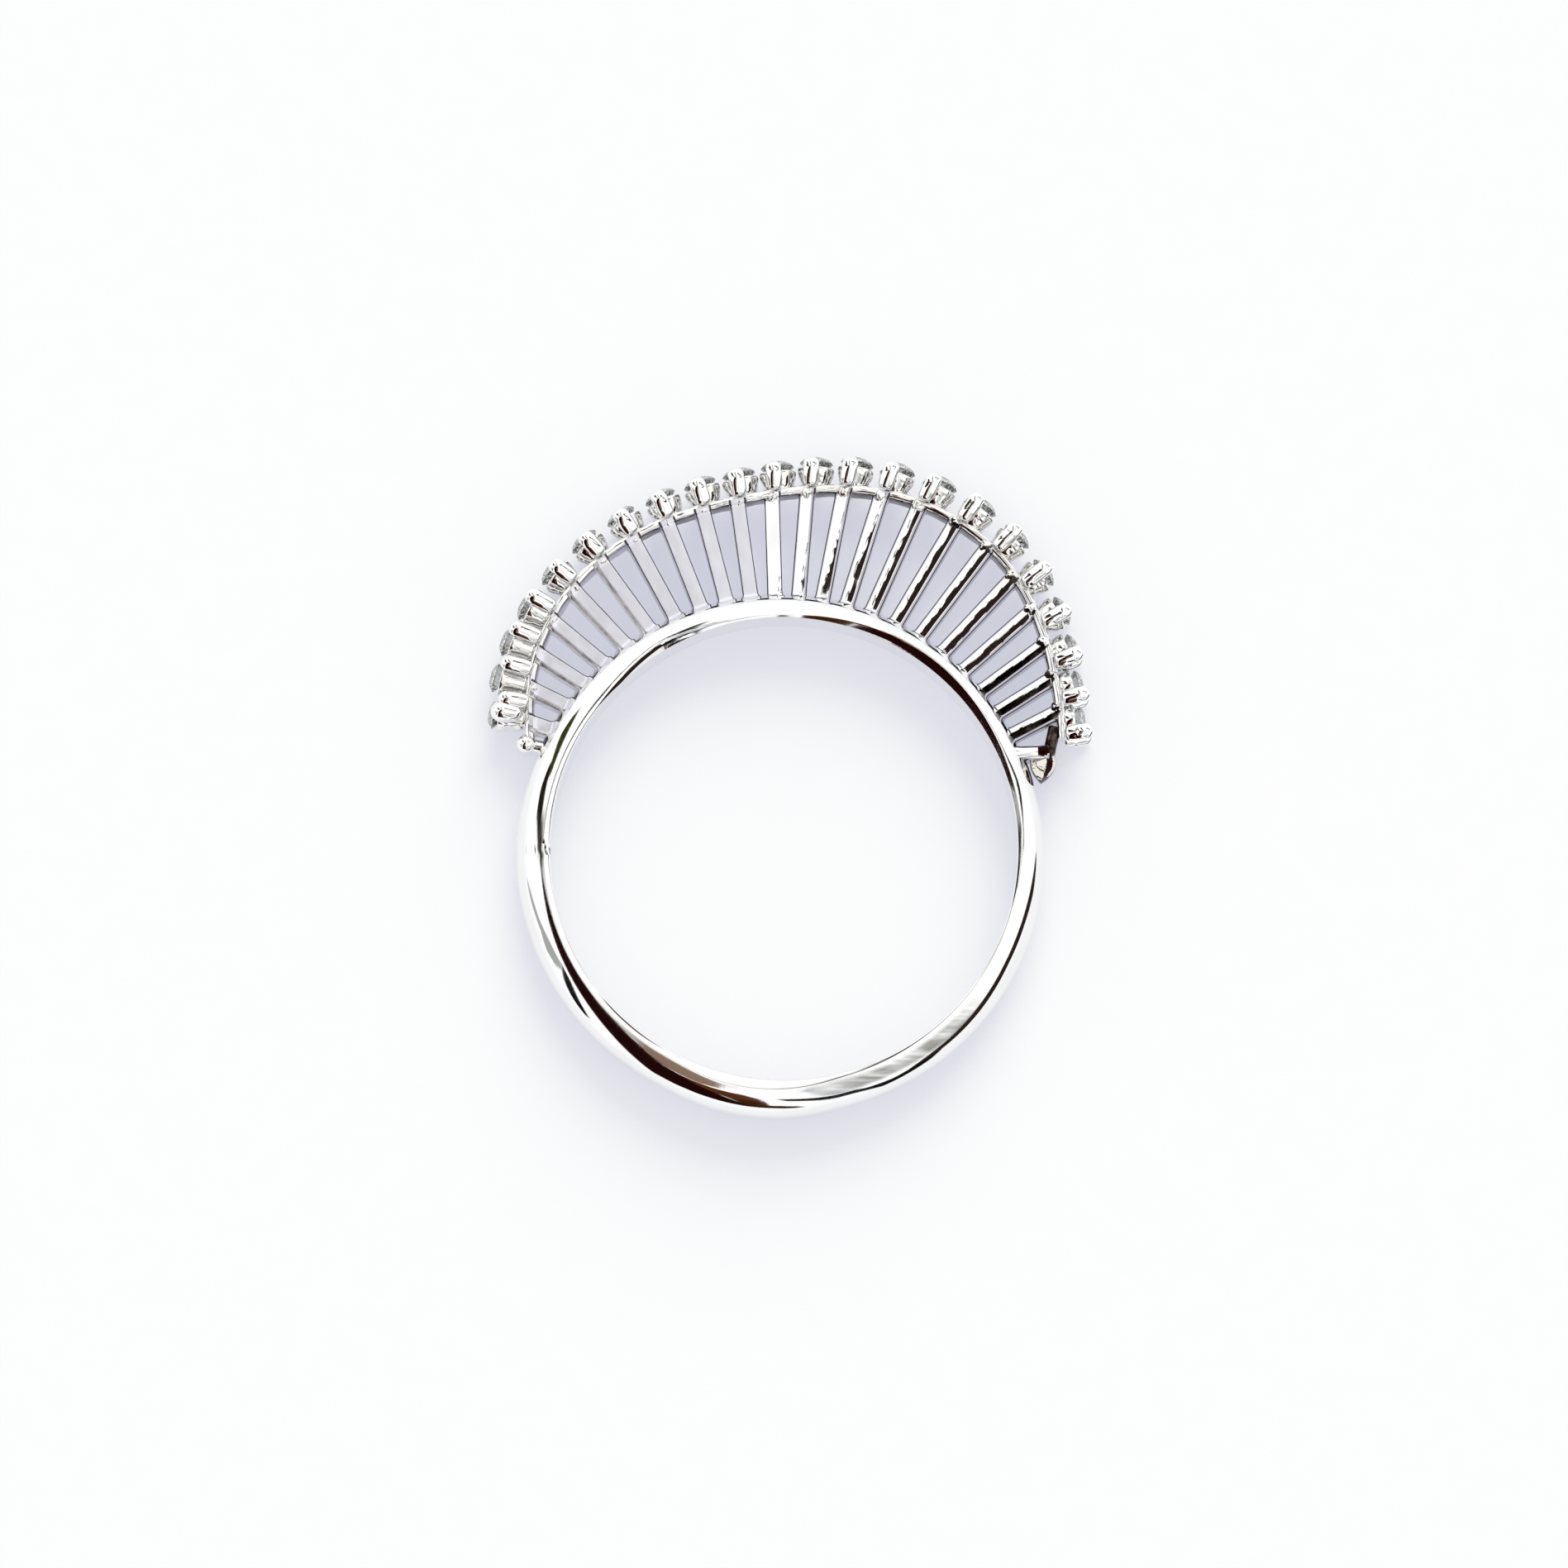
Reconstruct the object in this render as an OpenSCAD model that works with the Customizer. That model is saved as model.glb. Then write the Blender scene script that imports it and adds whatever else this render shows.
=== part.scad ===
// Half-eternity diamond ring with an openwork fan gallery.
// The finger hole is centred on the origin and its axis is +Z.
// The stones stand on the +Y side, and the ring lies on its side at z = -band_w / 2.

/* [Band] */
// Inside diameter of the finger hole, ring size 13
hole_d = 17.0; // [16.8:0.05:17.2]
// Width of the band across the finger
band_w = 2.0; // [1.9:0.05:2.1]
// Distance from the hole's edge out to the centre of the band's round section
section_out = 0.14; // [0.12:0.01:0.16]
// How far the outside is filed off centre to the left
off_left = 0.14; // [0.1:0.01:0.16]
// How far the outside is filed off centre to the foot
off_down = 0.1; // [0.05:0.01:0.12]
// How much thicker the band is at its foot
foot_swell = 0.16; // [0.1:0.01:0.18]
// Width of the two eased inner edges
edge_ease = 0.12; // [0.08:0.01:0.14]

/* [Rail] */
// Half length of the rail's curve
rail_a = 9.52; // [9.46:0.01:9.58]
// Half height of the rail's curve
rail_b = 8.64; // [8.55:0.01:8.7]
// Fullness of the rail's shoulders, 2 is an ellipse
rail_full = 2.38; // [2.3:0.01:2.42]
// Turn of the rail's curve
rail_turn = 10.7; // [10:0.1:11.5]
// Thickness of the rail
rail_t = 0.33; // [0.3:0.01:0.36]
// Depth of the rail along the finger
rail_w = 1.04; // [0.96:0.02:1.12]

/* [Fan bars] */
// Width of a bar as seen from the side
bar_t = 0.56; // [0.5:0.01:0.6]
// Depth of a bar along the finger
bar_w = 1.2; // [1.1:0.02:1.3]

/* [Settings] */
// Number of stones, cups and bars
settings = 22; // [22:1:22]
// Diameter of the largest stones, at the middle of the row
stone_max_d = 1.22; // [1.16:0.01:1.26]
// How much smaller the stones at the two ends are
stone_taper = 0.2; // [0.16:0.01:0.24]
// Clear space between a stone and its seat
seat_gap = 0.03; // [0.02:0.005:0.04]
// Wall of a cup at its rim
cup_wall = 0.06; // [0.05:0.005:0.08]
// Outside radius of a cup at its foot
cup_foot_r = 0.4; // [0.36:0.01:0.44]
// Width of a claw
claw_t = 0.56; // [0.5:0.01:0.6]
// Distance from a stone's axis to the middle of a claw
claw_out = 0.68; // [0.66:0.01:0.7]

/* [Hidden] */
$fn = 64;
deep = 6;
hole_r = hole_d / 2;
section_r = band_w / 2;
swell_angle = 264;
swell_shift = 2;
claw_r = claw_t / 2;
claw_root = 0.28;
claw_neck = 0.55;
end_claw_r = 0.42;
end_claw_h = 1.17;
girdle_half = 0.04;
seat_neck = 0.62;
seat_open = 0.8;
cup_foot_h = 0.1;
cup_bulge_h = 0.45;
lip_h = 0.08;
bead_r = 0.36;
bead_out = 0.3;
bar_sunk = 0.5;
rail_over = 0.06;
rail_c = [0.43, 4.45];
head_c = [0.5, 3.6];
rail_from = -2;
rail_to = 183;
rail_steps = 44;

// Where the rail's inner side runs, at an angle about the middle of its curve.
function rail_r(angle) = pow(
    pow(abs(cos(angle - rail_turn)) / rail_a, rail_full) +
    pow(abs(sin(angle - rail_turn)) / rail_b, rail_full),
    -1 / rail_full);
function rail_at(angle, out = 0) =
    rail_c + (rail_r(angle) + out) * [cos(angle), sin(angle)];

// The settings were laid out by hand: nearly even steps, closer together at both ends.
function turn(i) = 360 * i / (settings - 1);
function cup_angle(i) = 177.7 - 8.38 * i + 2.3 * sin(turn(i)) + 1.03 * sin(2 * turn(i));
function bar_angle(i) = 178.35 - 8.28 * i + 1.73 * sin(turn(i)) + 0.7 * sin(2 * turn(i));
function foot_angle(i) = 152.1 - 5.97 * i - 1.35 * sin(turn(i)) + 0.5 * sin(2 * turn(i));

// Stones get smaller towards both ends of the row.
function stone_d(i) = stone_max_d - stone_taper * pow(abs(2 * i / (settings - 1) - 1), 4);

// A claw stands a little beside its stone: up at both ends of the row, left at the top.
function claw_lead(i) =
    -0.3 - 1.95 * cos(turn(i)) - 0.6 * sin(turn(i)) - 0.75 * cos(2 * turn(i));
// A smooth swell along the row, 1 at one place and fading out around it.
function swell(i, place, width) = exp(-pow((i - place) / width, 2));

// Height of a stone's girdle over the rail's inner side: high at the left end, low at the right.
function girdle_h(i) =
    1.11 + 0.4 * swell(i, 0.6, 2.4) + 0.1 * swell(i, 14, 5) - 0.3 * swell(i, 22, 2.6);
// Height of a claw's end, furthest out over the right shoulder.
function tip_h(i) = 1.32 + 0.16 * swell(i, 2, 1.8) + 0.23 * swell(i, 16.5, 2.2)
    - 0.06 * swell(i, 22, 2.5);

function bearing(p) = atan2(p[1], p[0]);

// Stands a child on the rail at one setting, its +Z pointing out of the head.
module on_rail(i) {
    at = rail_at(cup_angle(i));
    translate([at[0], at[1], 0])
        rotate([0, 0, bearing(at - head_c)])
            rotate([0, 90, 0])
                children();
}

// Round-sided bar drawn from one point to another in the plane of the ring.
module flat_bar(from, to, thick, wide) {
    run = to - from;
    side = (wide - thick) / 2;
    translate([from[0], from[1], 0])
        rotate([0, 0, bearing(run)])
            rotate([0, 90, 0]) {
                translate([-side, -thick / 2, 0])
                    cube([2 * side, thick, norm(run)]);
                for (s = [-1, 1])
                    translate([s * side, 0, 0])
                        cylinder(r = thick / 2, h = norm(run));
            }
}

// Ring of round wire about a point beside the middle of the hole.
module round_ring(mid, radius, wire_r) {
    translate([mid[0], mid[1], 0])
        rotate_extrude()
            translate([radius, 0])
                circle(r = wire_r);
}

// Room for the finger: a straight hole whose two edges are eased.
module finger_hole() {
    straight = band_w / 2 - edge_ease;
    flare = deep / 2 - straight;
    rotate_extrude()
        polygon([[0, -deep / 2], [hole_r + flare, -deep / 2], [hole_r, -straight],
            [hole_r, straight], [hole_r + flare, deep / 2], [0, deep / 2]]);
}

// The band: a ring filed off centre, with a smaller ring in it that swells the foot.
module shank() {
    filed = [-off_left, -off_down];
    fuller = filed + swell_shift * [cos(swell_angle), sin(swell_angle)];
    lower = 0.02;
    difference() {
        union() {
            round_ring(filed, hole_r + section_out, section_r);
            round_ring(fuller, hole_r + section_out + foot_swell - swell_shift + lower,
                section_r - lower);
        }
        finger_hole();
    }
}

// Outline of the rail between two distances from its inner side.
function rail_side(out) = [
    for (k = [0:rail_steps])
        rail_at(rail_from + (rail_to - rail_from) * k / rail_steps, out)
];
function backwards(list) = [for (k = [len(list) - 1:-1:0]) list[k]];

module rail() {
    linear_extrude(height = rail_w, center = true)
        polygon(concat(rail_side(0), backwards(rail_side(rail_t))));
}

module fan() {
    intersection() {
        union() {
            for (i = [0:settings - 1]) {
                foot = (hole_r + bar_sunk) * [cos(foot_angle(i)), sin(foot_angle(i))];
                flat_bar(foot, rail_at(bar_angle(i), rail_t), bar_t, bar_w);
            }
        }
        linear_extrude(height = deep, center = true)
            polygon(concat([[0, 0]], rail_side(rail_t - rail_over)));
    }
}

// Room for one stone, larger than it by the seat gap.
module seat(i) {
    r = stone_d(i) / 2 + seat_gap;
    depth = 0.5 * stone_d(i);
    tip_r = 0.12;
    crown_h = 0.26;
    neck = seat_neck * r;
    translate([0, 0, girdle_h(i)])
        rotate_extrude()
            polygon([[0, -depth], [tip_r, -depth], [r, -girdle_half], [r, girdle_half],
                [neck, crown_h], [neck, seat_open], [0, seat_open]]);
}

module cup(i) {
    under_girdle = 0.2;
    bulge = 0.13;
    rim = girdle_h(i) - under_girdle;
    cup_r = stone_d(i) / 2 + seat_gap + cup_wall;
    rotate_extrude()
        polygon([[0, cup_foot_h], [cup_foot_r, cup_foot_h], [cup_foot_r + bulge, cup_bulge_h],
            [cup_r, rim - lip_h], [cup_r, rim], [0, rim]]);
}

// One claw: a round upright beside the cup with a ball end pressed down over the stone.
module claw(i, side) {
    lead = claw_lead(i) * PI / 180 * 10.5;
    root_r = 0.17;
    root_top_r = claw_r - 0.03;
    root_h = 0.33;
    waist_r = claw_r - 0.05;
    shoulder_r = claw_r - 0.02;
    shaft = tip_h(i) - claw_r;
    translate([side * claw_out, lead, 0]) {
        translate([0, 0, claw_root])
            cylinder(r1 = root_r, r2 = root_top_r, h = root_h);
        translate([0, 0, claw_neck])
            cylinder(r1 = waist_r, r2 = shoulder_r, h = shaft - claw_neck);
        translate([0, 0, shaft])
            sphere(r = claw_r);
    }
}

// The first stone has a second, stouter claw on the open side of its cup.
module end_claw(side) {
    out = 0.55;
    lead = -0.08;
    root_h = 0.4;
    root_r = 0.24;
    shoulder_r = 0.35;
    shaft = 0.7;
    translate([side * out, lead, 0]) {
        translate([0, 0, root_h])
            cylinder(r1 = root_r, r2 = shoulder_r, h = shaft);
        translate([0, 0, end_claw_h])
            sphere(r = end_claw_r);
    }
}

module setting(i) {
    difference() {
        union() {
            cup(i);
            for (s = [-1, 1]) {
                claw(i, s);
                if (i == 0)
                    end_claw(s);
            }
        }
        seat(i);
    }
}

// The bead that closes the left end of the head onto the band.
module left_end() {
    at = [-9.44, 3.9];
    root = [-8.5, 3.7];
    neck_t = 0.38;
    neck_w = 0.8;
    flat_bar(root, at, neck_t, neck_w);
    for (s = [-1, 1])
        translate([at[0], at[1], s * bead_out])
            sphere(r = bead_r);
    translate([at[0], at[1], 0])
        cylinder(r = bead_r - 0.02, h = 2 * bead_out, center = true);
}

// The right end: the rail is closed down onto the band and finished with a leaf.
module right_end() {
    foot_at = 23;
    foot = (hole_r + bar_sunk) * [cos(foot_at), sin(foot_at)];
    rail_tip = [9.98, 4.5];
    corner = [9.7, 3.55];
    tip_t = 0.36;
    tip_w = 0.9;
    closing_t = 0.42;
    closing_w = 1;
    leaf_at = [9.48, 3.14, 0];
    leaf_turn = -6;
    flat_bar(rail_tip, corner, tip_t, tip_w);
    flat_bar(foot, corner, closing_t, closing_w);
    translate(leaf_at)
        rotate([0, 0, leaf_turn])
            leaf(0.6, 0.47, 0.63);
}

// Pointed leaf, domed front and back: half its length, half its width and its depth.
module leaf(long, wide, depth) {
    arc_r = (long * long + wide * wide) / (2 * wide);
    intersection() {
        translate([wide - arc_r, 0, 0])
            cylinder(r = arc_r, h = deep, center = true);
        translate([arc_r - wide, 0, 0])
            cylinder(r = arc_r, h = deep, center = true);
        sphere(r = depth);
    }
}

module mounting() {
    color("gainsboro") {
        shank();
        rail();
        fan();
        for (i = [0:settings - 1])
            on_rail(i) setting(i);
        left_end();
        right_end();
    }
}

// Corners of one level of a stone.
function ring(n, r, z, from) = [
    for (k = [0:n - 1])
        [r * cos(from + k * 360 / n), r * sin(from + k * 360 / n), z]
];

// Round brilliant with 33 facets above the girdle and 24 below it.
module stone(i) {
    stone_r = stone_d(i) / 2;
    table_r = 0.57 * stone_r;
    crown_h = 0.31 * stone_r;
    belt = 0.03 * stone_r;
    deep_h = 0.86 * stone_r;
    star_in = 0.5;
    half_in = 0.75;
    crown_r = (table_r + (stone_r - table_r) * star_in) / cos(22.5);
    under_r = stone_r * (1 - half_in) / cos(22.5);
    points = concat(
        ring(8, table_r, belt + crown_h, 0),
        ring(8, crown_r, belt + crown_h * (1 - star_in), 22.5),
        ring(16, stone_r, belt, 0),
        ring(16, stone_r, -belt, 0),
        ring(8, under_r, -belt - deep_h * half_in, 22.5),
        [[0, 0, -belt - deep_h]]);
    // Each list starts at the corner shared with the main facet k.
    faces = concat(
        [[for (k = [7:-1:0]) k]],
        [for (k = [0:7]) [k, (k + 1) % 8, 8 + k]],
        [for (k = [0:7]) [k, 8 + k, 16 + 2 * k, 8 + (k + 7) % 8]],
        [for (k = [0:7]) [8 + k, 17 + 2 * k, 16 + 2 * k]],
        [for (k = [0:7]) [8 + k, 16 + (2 * k + 2) % 16, 17 + 2 * k]],
        [for (k = [0:15]) [16 + k, 16 + (k + 1) % 16, 32 + (k + 1) % 16, 32 + k]],
        [for (k = [0:7]) [48 + k, 32 + 2 * k, 33 + 2 * k]],
        [for (k = [0:7]) [48 + k, 33 + 2 * k, 32 + (2 * k + 2) % 16]],
        [for (k = [0:7]) [56, 48 + (k + 7) % 8, 32 + 2 * k, 48 + k]]);
    color("white")
        on_rail(i)
            translate([0, 0, girdle_h(i)])
                polyhedron(points = points, faces = faces);
}

mounting();
for (i = [1:settings])
    stone(i - 1);
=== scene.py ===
import math
import random

import bmesh
import bpy
from mathutils import Matrix, Vector


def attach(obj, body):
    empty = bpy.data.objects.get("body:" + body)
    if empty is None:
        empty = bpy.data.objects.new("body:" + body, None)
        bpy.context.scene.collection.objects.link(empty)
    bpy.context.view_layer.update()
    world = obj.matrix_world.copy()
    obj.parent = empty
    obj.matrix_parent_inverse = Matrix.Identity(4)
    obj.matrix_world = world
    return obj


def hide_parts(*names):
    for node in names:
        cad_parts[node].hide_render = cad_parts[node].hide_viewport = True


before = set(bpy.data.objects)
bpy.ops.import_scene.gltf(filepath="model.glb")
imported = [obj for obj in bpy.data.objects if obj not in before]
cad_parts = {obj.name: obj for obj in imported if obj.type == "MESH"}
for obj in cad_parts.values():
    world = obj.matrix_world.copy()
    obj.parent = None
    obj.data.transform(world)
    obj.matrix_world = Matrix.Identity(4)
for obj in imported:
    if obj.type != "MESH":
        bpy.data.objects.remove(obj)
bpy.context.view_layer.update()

# A half-eternity ring on white paper.
# Everything is drawn in millimetres and degrees, and brought to metres when it is finished.
MM = 0.001
hand = random.Random(22)

# Sizes of the ring, as in the part's source.
# Band: the finger hole, the width along the finger, the round section and where its centre lies
HOLE_R, BAND_W = 8.5, 2.0
SECTION_R, SECTION_OUT = 0.9995, 0.14
# How far the outside is filed off centre, and the fuller foot
OFF = Vector((-0.14, -0.1, 0))
SWELL_AT, SWELL_SHIFT, FOOT_SWELL = 264, 2.0, 0.16
# Rail: half length, half height, fullness and turn of its curve, its thickness, depth and ends
RAIL_A, RAIL_B, RAIL_FULL, RAIL_TURN = 9.52, 8.64, 2.38, 10.7
RAIL_T, RAIL_W = 0.33, 1.04
RAIL_FROM, RAIL_TO = 183, -2
# Middle of the rail's curve, and the point that the settings face away from
RAIL_C, HEAD_C = Vector((0.43, 4.45, 0)), Vector((0.5, 3.6, 0))
# Fan bars and settings
BAR_T, BAR_W = 0.56, 1.2
SETTINGS = 22
CLAW_R, CLAW_OUT = 0.28, 0.68
HEAD_R = 10.5


def cosd(a):
    return math.cos(math.radians(a))


def sind(a):
    return math.sin(math.radians(a))


def rail_r(angle):
    """How far the rail's inner side is from the middle of its curve."""
    return ((abs(cosd(angle - RAIL_TURN)) / RAIL_A) ** RAIL_FULL
            + (abs(sind(angle - RAIL_TURN)) / RAIL_B) ** RAIL_FULL) ** (-1 / RAIL_FULL)


def rail_at(angle, out=0.0):
    """A point of the rail, so far outside its inner side."""
    return RAIL_C + (rail_r(angle) + out) * Vector((cosd(angle), sind(angle), 0))


def turn(i):
    """How far along the row a setting is, with the whole row as one turn."""
    return 360 * i / (SETTINGS - 1)


# The settings were laid out by hand: nearly even steps, closer together at both ends, in degrees
def cup_angle(i):
    return 177.7 - 8.38 * i + 2.3 * sind(turn(i)) + 1.03 * sind(2 * turn(i))


def bar_angle(i):
    return 178.35 - 8.28 * i + 1.73 * sind(turn(i)) + 0.7 * sind(2 * turn(i))


def foot_angle(i):
    return 152.1 - 5.97 * i - 1.35 * sind(turn(i)) + 0.5 * sind(2 * turn(i))


def stone_d(i):
    """Diameter of a stone: a little smaller at both ends of the row."""
    return 1.22 - 0.2 * abs(2 * i / (SETTINGS - 1) - 1) ** 4


def claw_lead(i):
    """How far a claw stands beside its stone: up at both ends of the row, left at the top."""
    lead = -0.3 - 1.95 * cosd(turn(i)) - 0.6 * sind(turn(i)) - 0.75 * cosd(2 * turn(i))
    return lead * math.pi / 180 * HEAD_R


def swell(i, place, width):
    """A smooth swell along the row, 1 at one place and fading out around it."""
    return math.exp(-((i - place) / width) ** 2)


def girdle_h(i):
    """Height of a stone's girdle over the rail's inner side."""
    return 1.11 + 0.4 * swell(i, 0.6, 2.4) + 0.1 * swell(i, 14, 5) - 0.3 * swell(i, 22, 2.6)


def tip_h(i):
    """Height of a claw's end over the rail's inner side."""
    return 1.32 + 0.16 * swell(i, 2, 1.8) + 0.23 * swell(i, 16.5, 2.2) - 0.06 * swell(i, 22, 2.5)


def bearing(v):
    """Which way a vector points in the plane of the ring."""
    return math.atan2(v.y, v.x)


def on_rail(i):
    """The bench frame of one setting: +Z points out of the head, -X to the front, +Y back along the row."""
    at = rail_at(cup_angle(i))
    return (Matrix.Translation(at) @ Matrix.Rotation(bearing(at - HEAD_C), 4, "Z")
            @ Matrix.Rotation(math.radians(90), 4, "Y"))


# The bench: picking, drawing and finishing
def switch_to(mode):
    bpy.ops.object.mode_set(mode=mode)


def put_down():
    if bpy.context.object and bpy.context.object.mode != "OBJECT":
        switch_to("OBJECT")
    bpy.ops.object.select_all(action="DESELECT")


def take(piece):
    put_down()
    piece.select_set(True)
    bpy.context.view_layer.objects.active = piece


def started(name):
    """Names the primitive that was just added and opens it for shaping, with all of it picked."""
    piece = bpy.context.object
    piece.name = piece.data.name = name
    bpy.ops.object.transform_apply(location=True, rotation=True, scale=True)
    switch_to("EDIT")
    bpy.ops.mesh.select_mode(type="VERT")
    bpy.ops.mesh.select_all(action="SELECT")
    return piece


def ring(name, corners, radius, at=(0, 0, 0), turned=(0, 0, 0)):
    """An open ring of corners, ready for shaping."""
    put_down()
    bpy.ops.mesh.primitive_circle_add(vertices=corners, radius=radius, fill_type="NOTHING",
                                      location=at, rotation=turned)
    return started(name)


def sphere(name, segments, rings, radius, at=(0, 0, 0)):
    """A ball, ready for shaping."""
    put_down()
    bpy.ops.mesh.primitive_uv_sphere_add(segments=segments, ring_count=rings, radius=radius, location=at)
    return started(name)


def pick(piece, test):
    """Picks the corners of the open piece that pass the test, and what lies between them."""
    mesh = bmesh.from_edit_mesh(piece.data)
    for part in (*mesh.faces, *mesh.edges):
        part.select = False
    for corner in mesh.verts:
        corner.select = bool(test(corner.co))
    mesh.select_flush(True)
    bmesh.update_edit_mesh(piece.data)


# Two heights nearer than this are the same
NEAR = 1e-4


def draw_up(start, steps):
    """Draws the picked ring up through a list of (height, radius, sideways shift in X)."""
    z, r, x = start
    for height, radius, shift in steps:
        bpy.ops.mesh.extrude_region_move(TRANSFORM_OT_translate={"value": (shift - x, 0, height - z)})
        bpy.ops.transform.resize(value=(radius / r, radius / r, 1), center_override=(shift, 0, height))
        z, r, x = height, radius, shift


def close_round(piece, test):
    """Closes an open end by drawing its ring together to a point."""
    pick(piece, test)
    bpy.ops.mesh.merge(type="CENTER")


def closed(piece):
    """Welds the open piece, turns its faces outward and ends its shaping."""
    bpy.ops.mesh.select_all(action="SELECT")
    bpy.ops.mesh.remove_doubles(threshold=0.0005)
    bpy.ops.mesh.normals_make_consistent(inside=False)
    switch_to("OBJECT")
    return piece


def modifier(piece, kind, **settings):
    take(piece)
    tool = piece.modifiers.new(kind.lower(), kind)
    for key, value in settings.items():
        setattr(tool, key, value)
    bpy.ops.object.modifier_apply(modifier=tool.name)


def copied(model, name):
    """A copy of a model, with its own mesh."""
    piece = model.copy()
    piece.data = model.data.copy()
    piece.name = piece.data.name = name
    bpy.context.collection.objects.link(piece)
    return piece


def hand_filed(piece, depth, size):
    """Uneven filing: the surface moves in and out by a few hundredths of a millimetre."""
    cloud = bpy.data.textures.new(piece.name + "_filing", "CLOUDS")
    cloud.noise_scale = size
    cloud.noise_depth = 1
    modifier(piece, "DISPLACE", texture=cloud, strength=depth, mid_level=0.5, texture_coords="GLOBAL")
    bpy.data.textures.remove(cloud)


def reshape(piece, rule):
    """Moves every corner of a piece to where the rule puts it."""
    for corner in piece.data.vertices:
        corner.co = rule(corner.co)


def to_bench(piece, material, angle=180):
    """Brings a finished metal piece to metres, smooths it, gives it its material if it has none, hangs it on
    the ring's body and hides the mounting.
    """
    piece.data.transform(Matrix.Scale(MM, 4))
    take(piece)
    if angle < 180:
        bpy.ops.object.shade_smooth_by_angle(angle=math.radians(angle))
    else:
        bpy.ops.object.shade_smooth()
    if not piece.data.materials:
        piece.data.materials.append(material)
    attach(piece, "root")
    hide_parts("mounting")
    put_down()
    return piece


# Finishes
def sockets(group, ins, outs):
    for name, kind, value in ins:
        socket = group.interface.new_socket(name, in_out="INPUT", socket_type=kind)
        socket.default_value = value
    for name, kind in outs:
        group.interface.new_socket(name, in_out="OUTPUT", socket_type=kind)


def wire(tree, *links):
    for a, b in links:
        tree.links.new(a, b)


def node(tree, kind, label=None, **values):
    """A new node, with its settings or else its inputs given by name."""
    made = tree.nodes.new(kind)
    if label:
        made.label = label
    for key, value in values.items():
        if hasattr(made, key):
            setattr(made, key, value)
        else:
            made.inputs[key.replace("_", " ")].default_value = value
    return made


# Spots to a metre of the usual stains
STAINS = 420.0


def make_wear_group():
    """Polished metal that has been worn: fine scratches, smudged polish and a slow wave in the surface."""
    group = bpy.data.node_groups.new("polish_wear", "ShaderNodeTree")
    number, colour, arrow = "NodeSocketFloat", "NodeSocketColor", "NodeSocketVector"
    sockets(group,
            [("Polish", number, 0.05), ("Smudge", number, 0.05), ("Stains", number, STAINS),
             ("Scratch", number, 0.3), ("Wave", number, 0.1),
             ("Metal", colour, (0.9, 0.9, 0.9, 1)), ("Tarnish", colour, (0.7, 0.7, 0.7, 1))],
            [("Color", colour), ("Roughness", number), ("Normal", arrow)])
    group_in, group_out = node(group, "NodeGroupInput"), node(group, "NodeGroupOutput")
    place = node(group, "ShaderNodeTexCoord")
    smudge = node(group, "ShaderNodeTexNoise", "smudges", Scale=900.0, Detail=4.0, Roughness=0.6)
    stain = node(group, "ShaderNodeTexNoise", "dull spots", Detail=3.0)
    wave = node(group, "ShaderNodeTexNoise", "slow wave", Scale=700.0, Detail=1.0)
    stretch = node(group, "ShaderNodeMapping", "scratch direction", Rotation=(0.3, 0.2, 0.7),
                   Scale=(9000.0, 900.0, 5200.0))
    scratch = node(group, "ShaderNodeTexNoise", "fine scratches", Scale=1.0, Detail=3.0, Distortion=0.4)
    thin = node(group, "ShaderNodeMapRange", "only the deepest", From_Min=0.6, From_Max=0.72)
    rough = node(group, "ShaderNodeMath", operation="MULTIPLY_ADD")
    mask = node(group, "ShaderNodeMapRange", "edge of the spots", From_Min=0.45, From_Max=0.75)
    mark = node(group, "ShaderNodeMath", operation="MULTIPLY")
    both = node(group, "ShaderNodeMath", "scratches are rougher", operation="MULTIPLY_ADD")
    both.inputs[1].default_value = 0.08
    tone = node(group, "ShaderNodeMix", data_type="RGBA")
    half = node(group, "ShaderNodeMath", "spots at half strength", operation="MULTIPLY")
    half.inputs[1].default_value = 0.5
    wave_bump = node(group, "ShaderNodeBump", "wave", Distance=0.02 * MM)
    scratch_bump = node(group, "ShaderNodeBump", "scratches", Distance=0.003 * MM)
    for taker in (smudge, stain, wave, stretch):
        wire(group, (place.outputs["Object"], taker.inputs["Vector"]))
    wire(group,
         (stretch.outputs["Vector"], scratch.inputs["Vector"]),
         (scratch.outputs["Fac"], thin.inputs["Value"]),
         (group_in.outputs["Stains"], stain.inputs["Scale"]), (stain.outputs["Fac"], mask.inputs["Value"]),
         (smudge.outputs["Fac"], rough.inputs[0]), (group_in.outputs["Smudge"], rough.inputs[1]),
         (group_in.outputs["Polish"], rough.inputs[2]),
         (thin.outputs["Result"], mark.inputs[0]), (group_in.outputs["Scratch"], mark.inputs[1]),
         (mark.outputs[0], both.inputs[0]), (rough.outputs[0], both.inputs[2]),
         (both.outputs[0], group_out.inputs["Roughness"]),
         (mask.outputs["Result"], half.inputs[0]), (half.outputs[0], tone.inputs["Factor"]),
         (group_in.outputs["Metal"], tone.inputs["A"]), (group_in.outputs["Tarnish"], tone.inputs["B"]),
         (tone.outputs["Result"], group_out.inputs["Color"]),
         (wave.outputs["Fac"], wave_bump.inputs["Height"]),
         (group_in.outputs["Wave"], wave_bump.inputs["Strength"]),
         (scratch.outputs["Fac"], scratch_bump.inputs["Height"]),
         (mark.outputs[0], scratch_bump.inputs["Strength"]),
         (wave_bump.outputs["Normal"], scratch_bump.inputs["Normal"]),
         (scratch_bump.outputs["Normal"], group_out.inputs["Normal"]))
    return group


def new_material(name):
    """A new material, its tree of nodes and its shader."""
    material = bpy.data.materials.new(name)
    material.use_nodes = True
    return material, material.node_tree, material.node_tree.nodes["Principled BSDF"]


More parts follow.
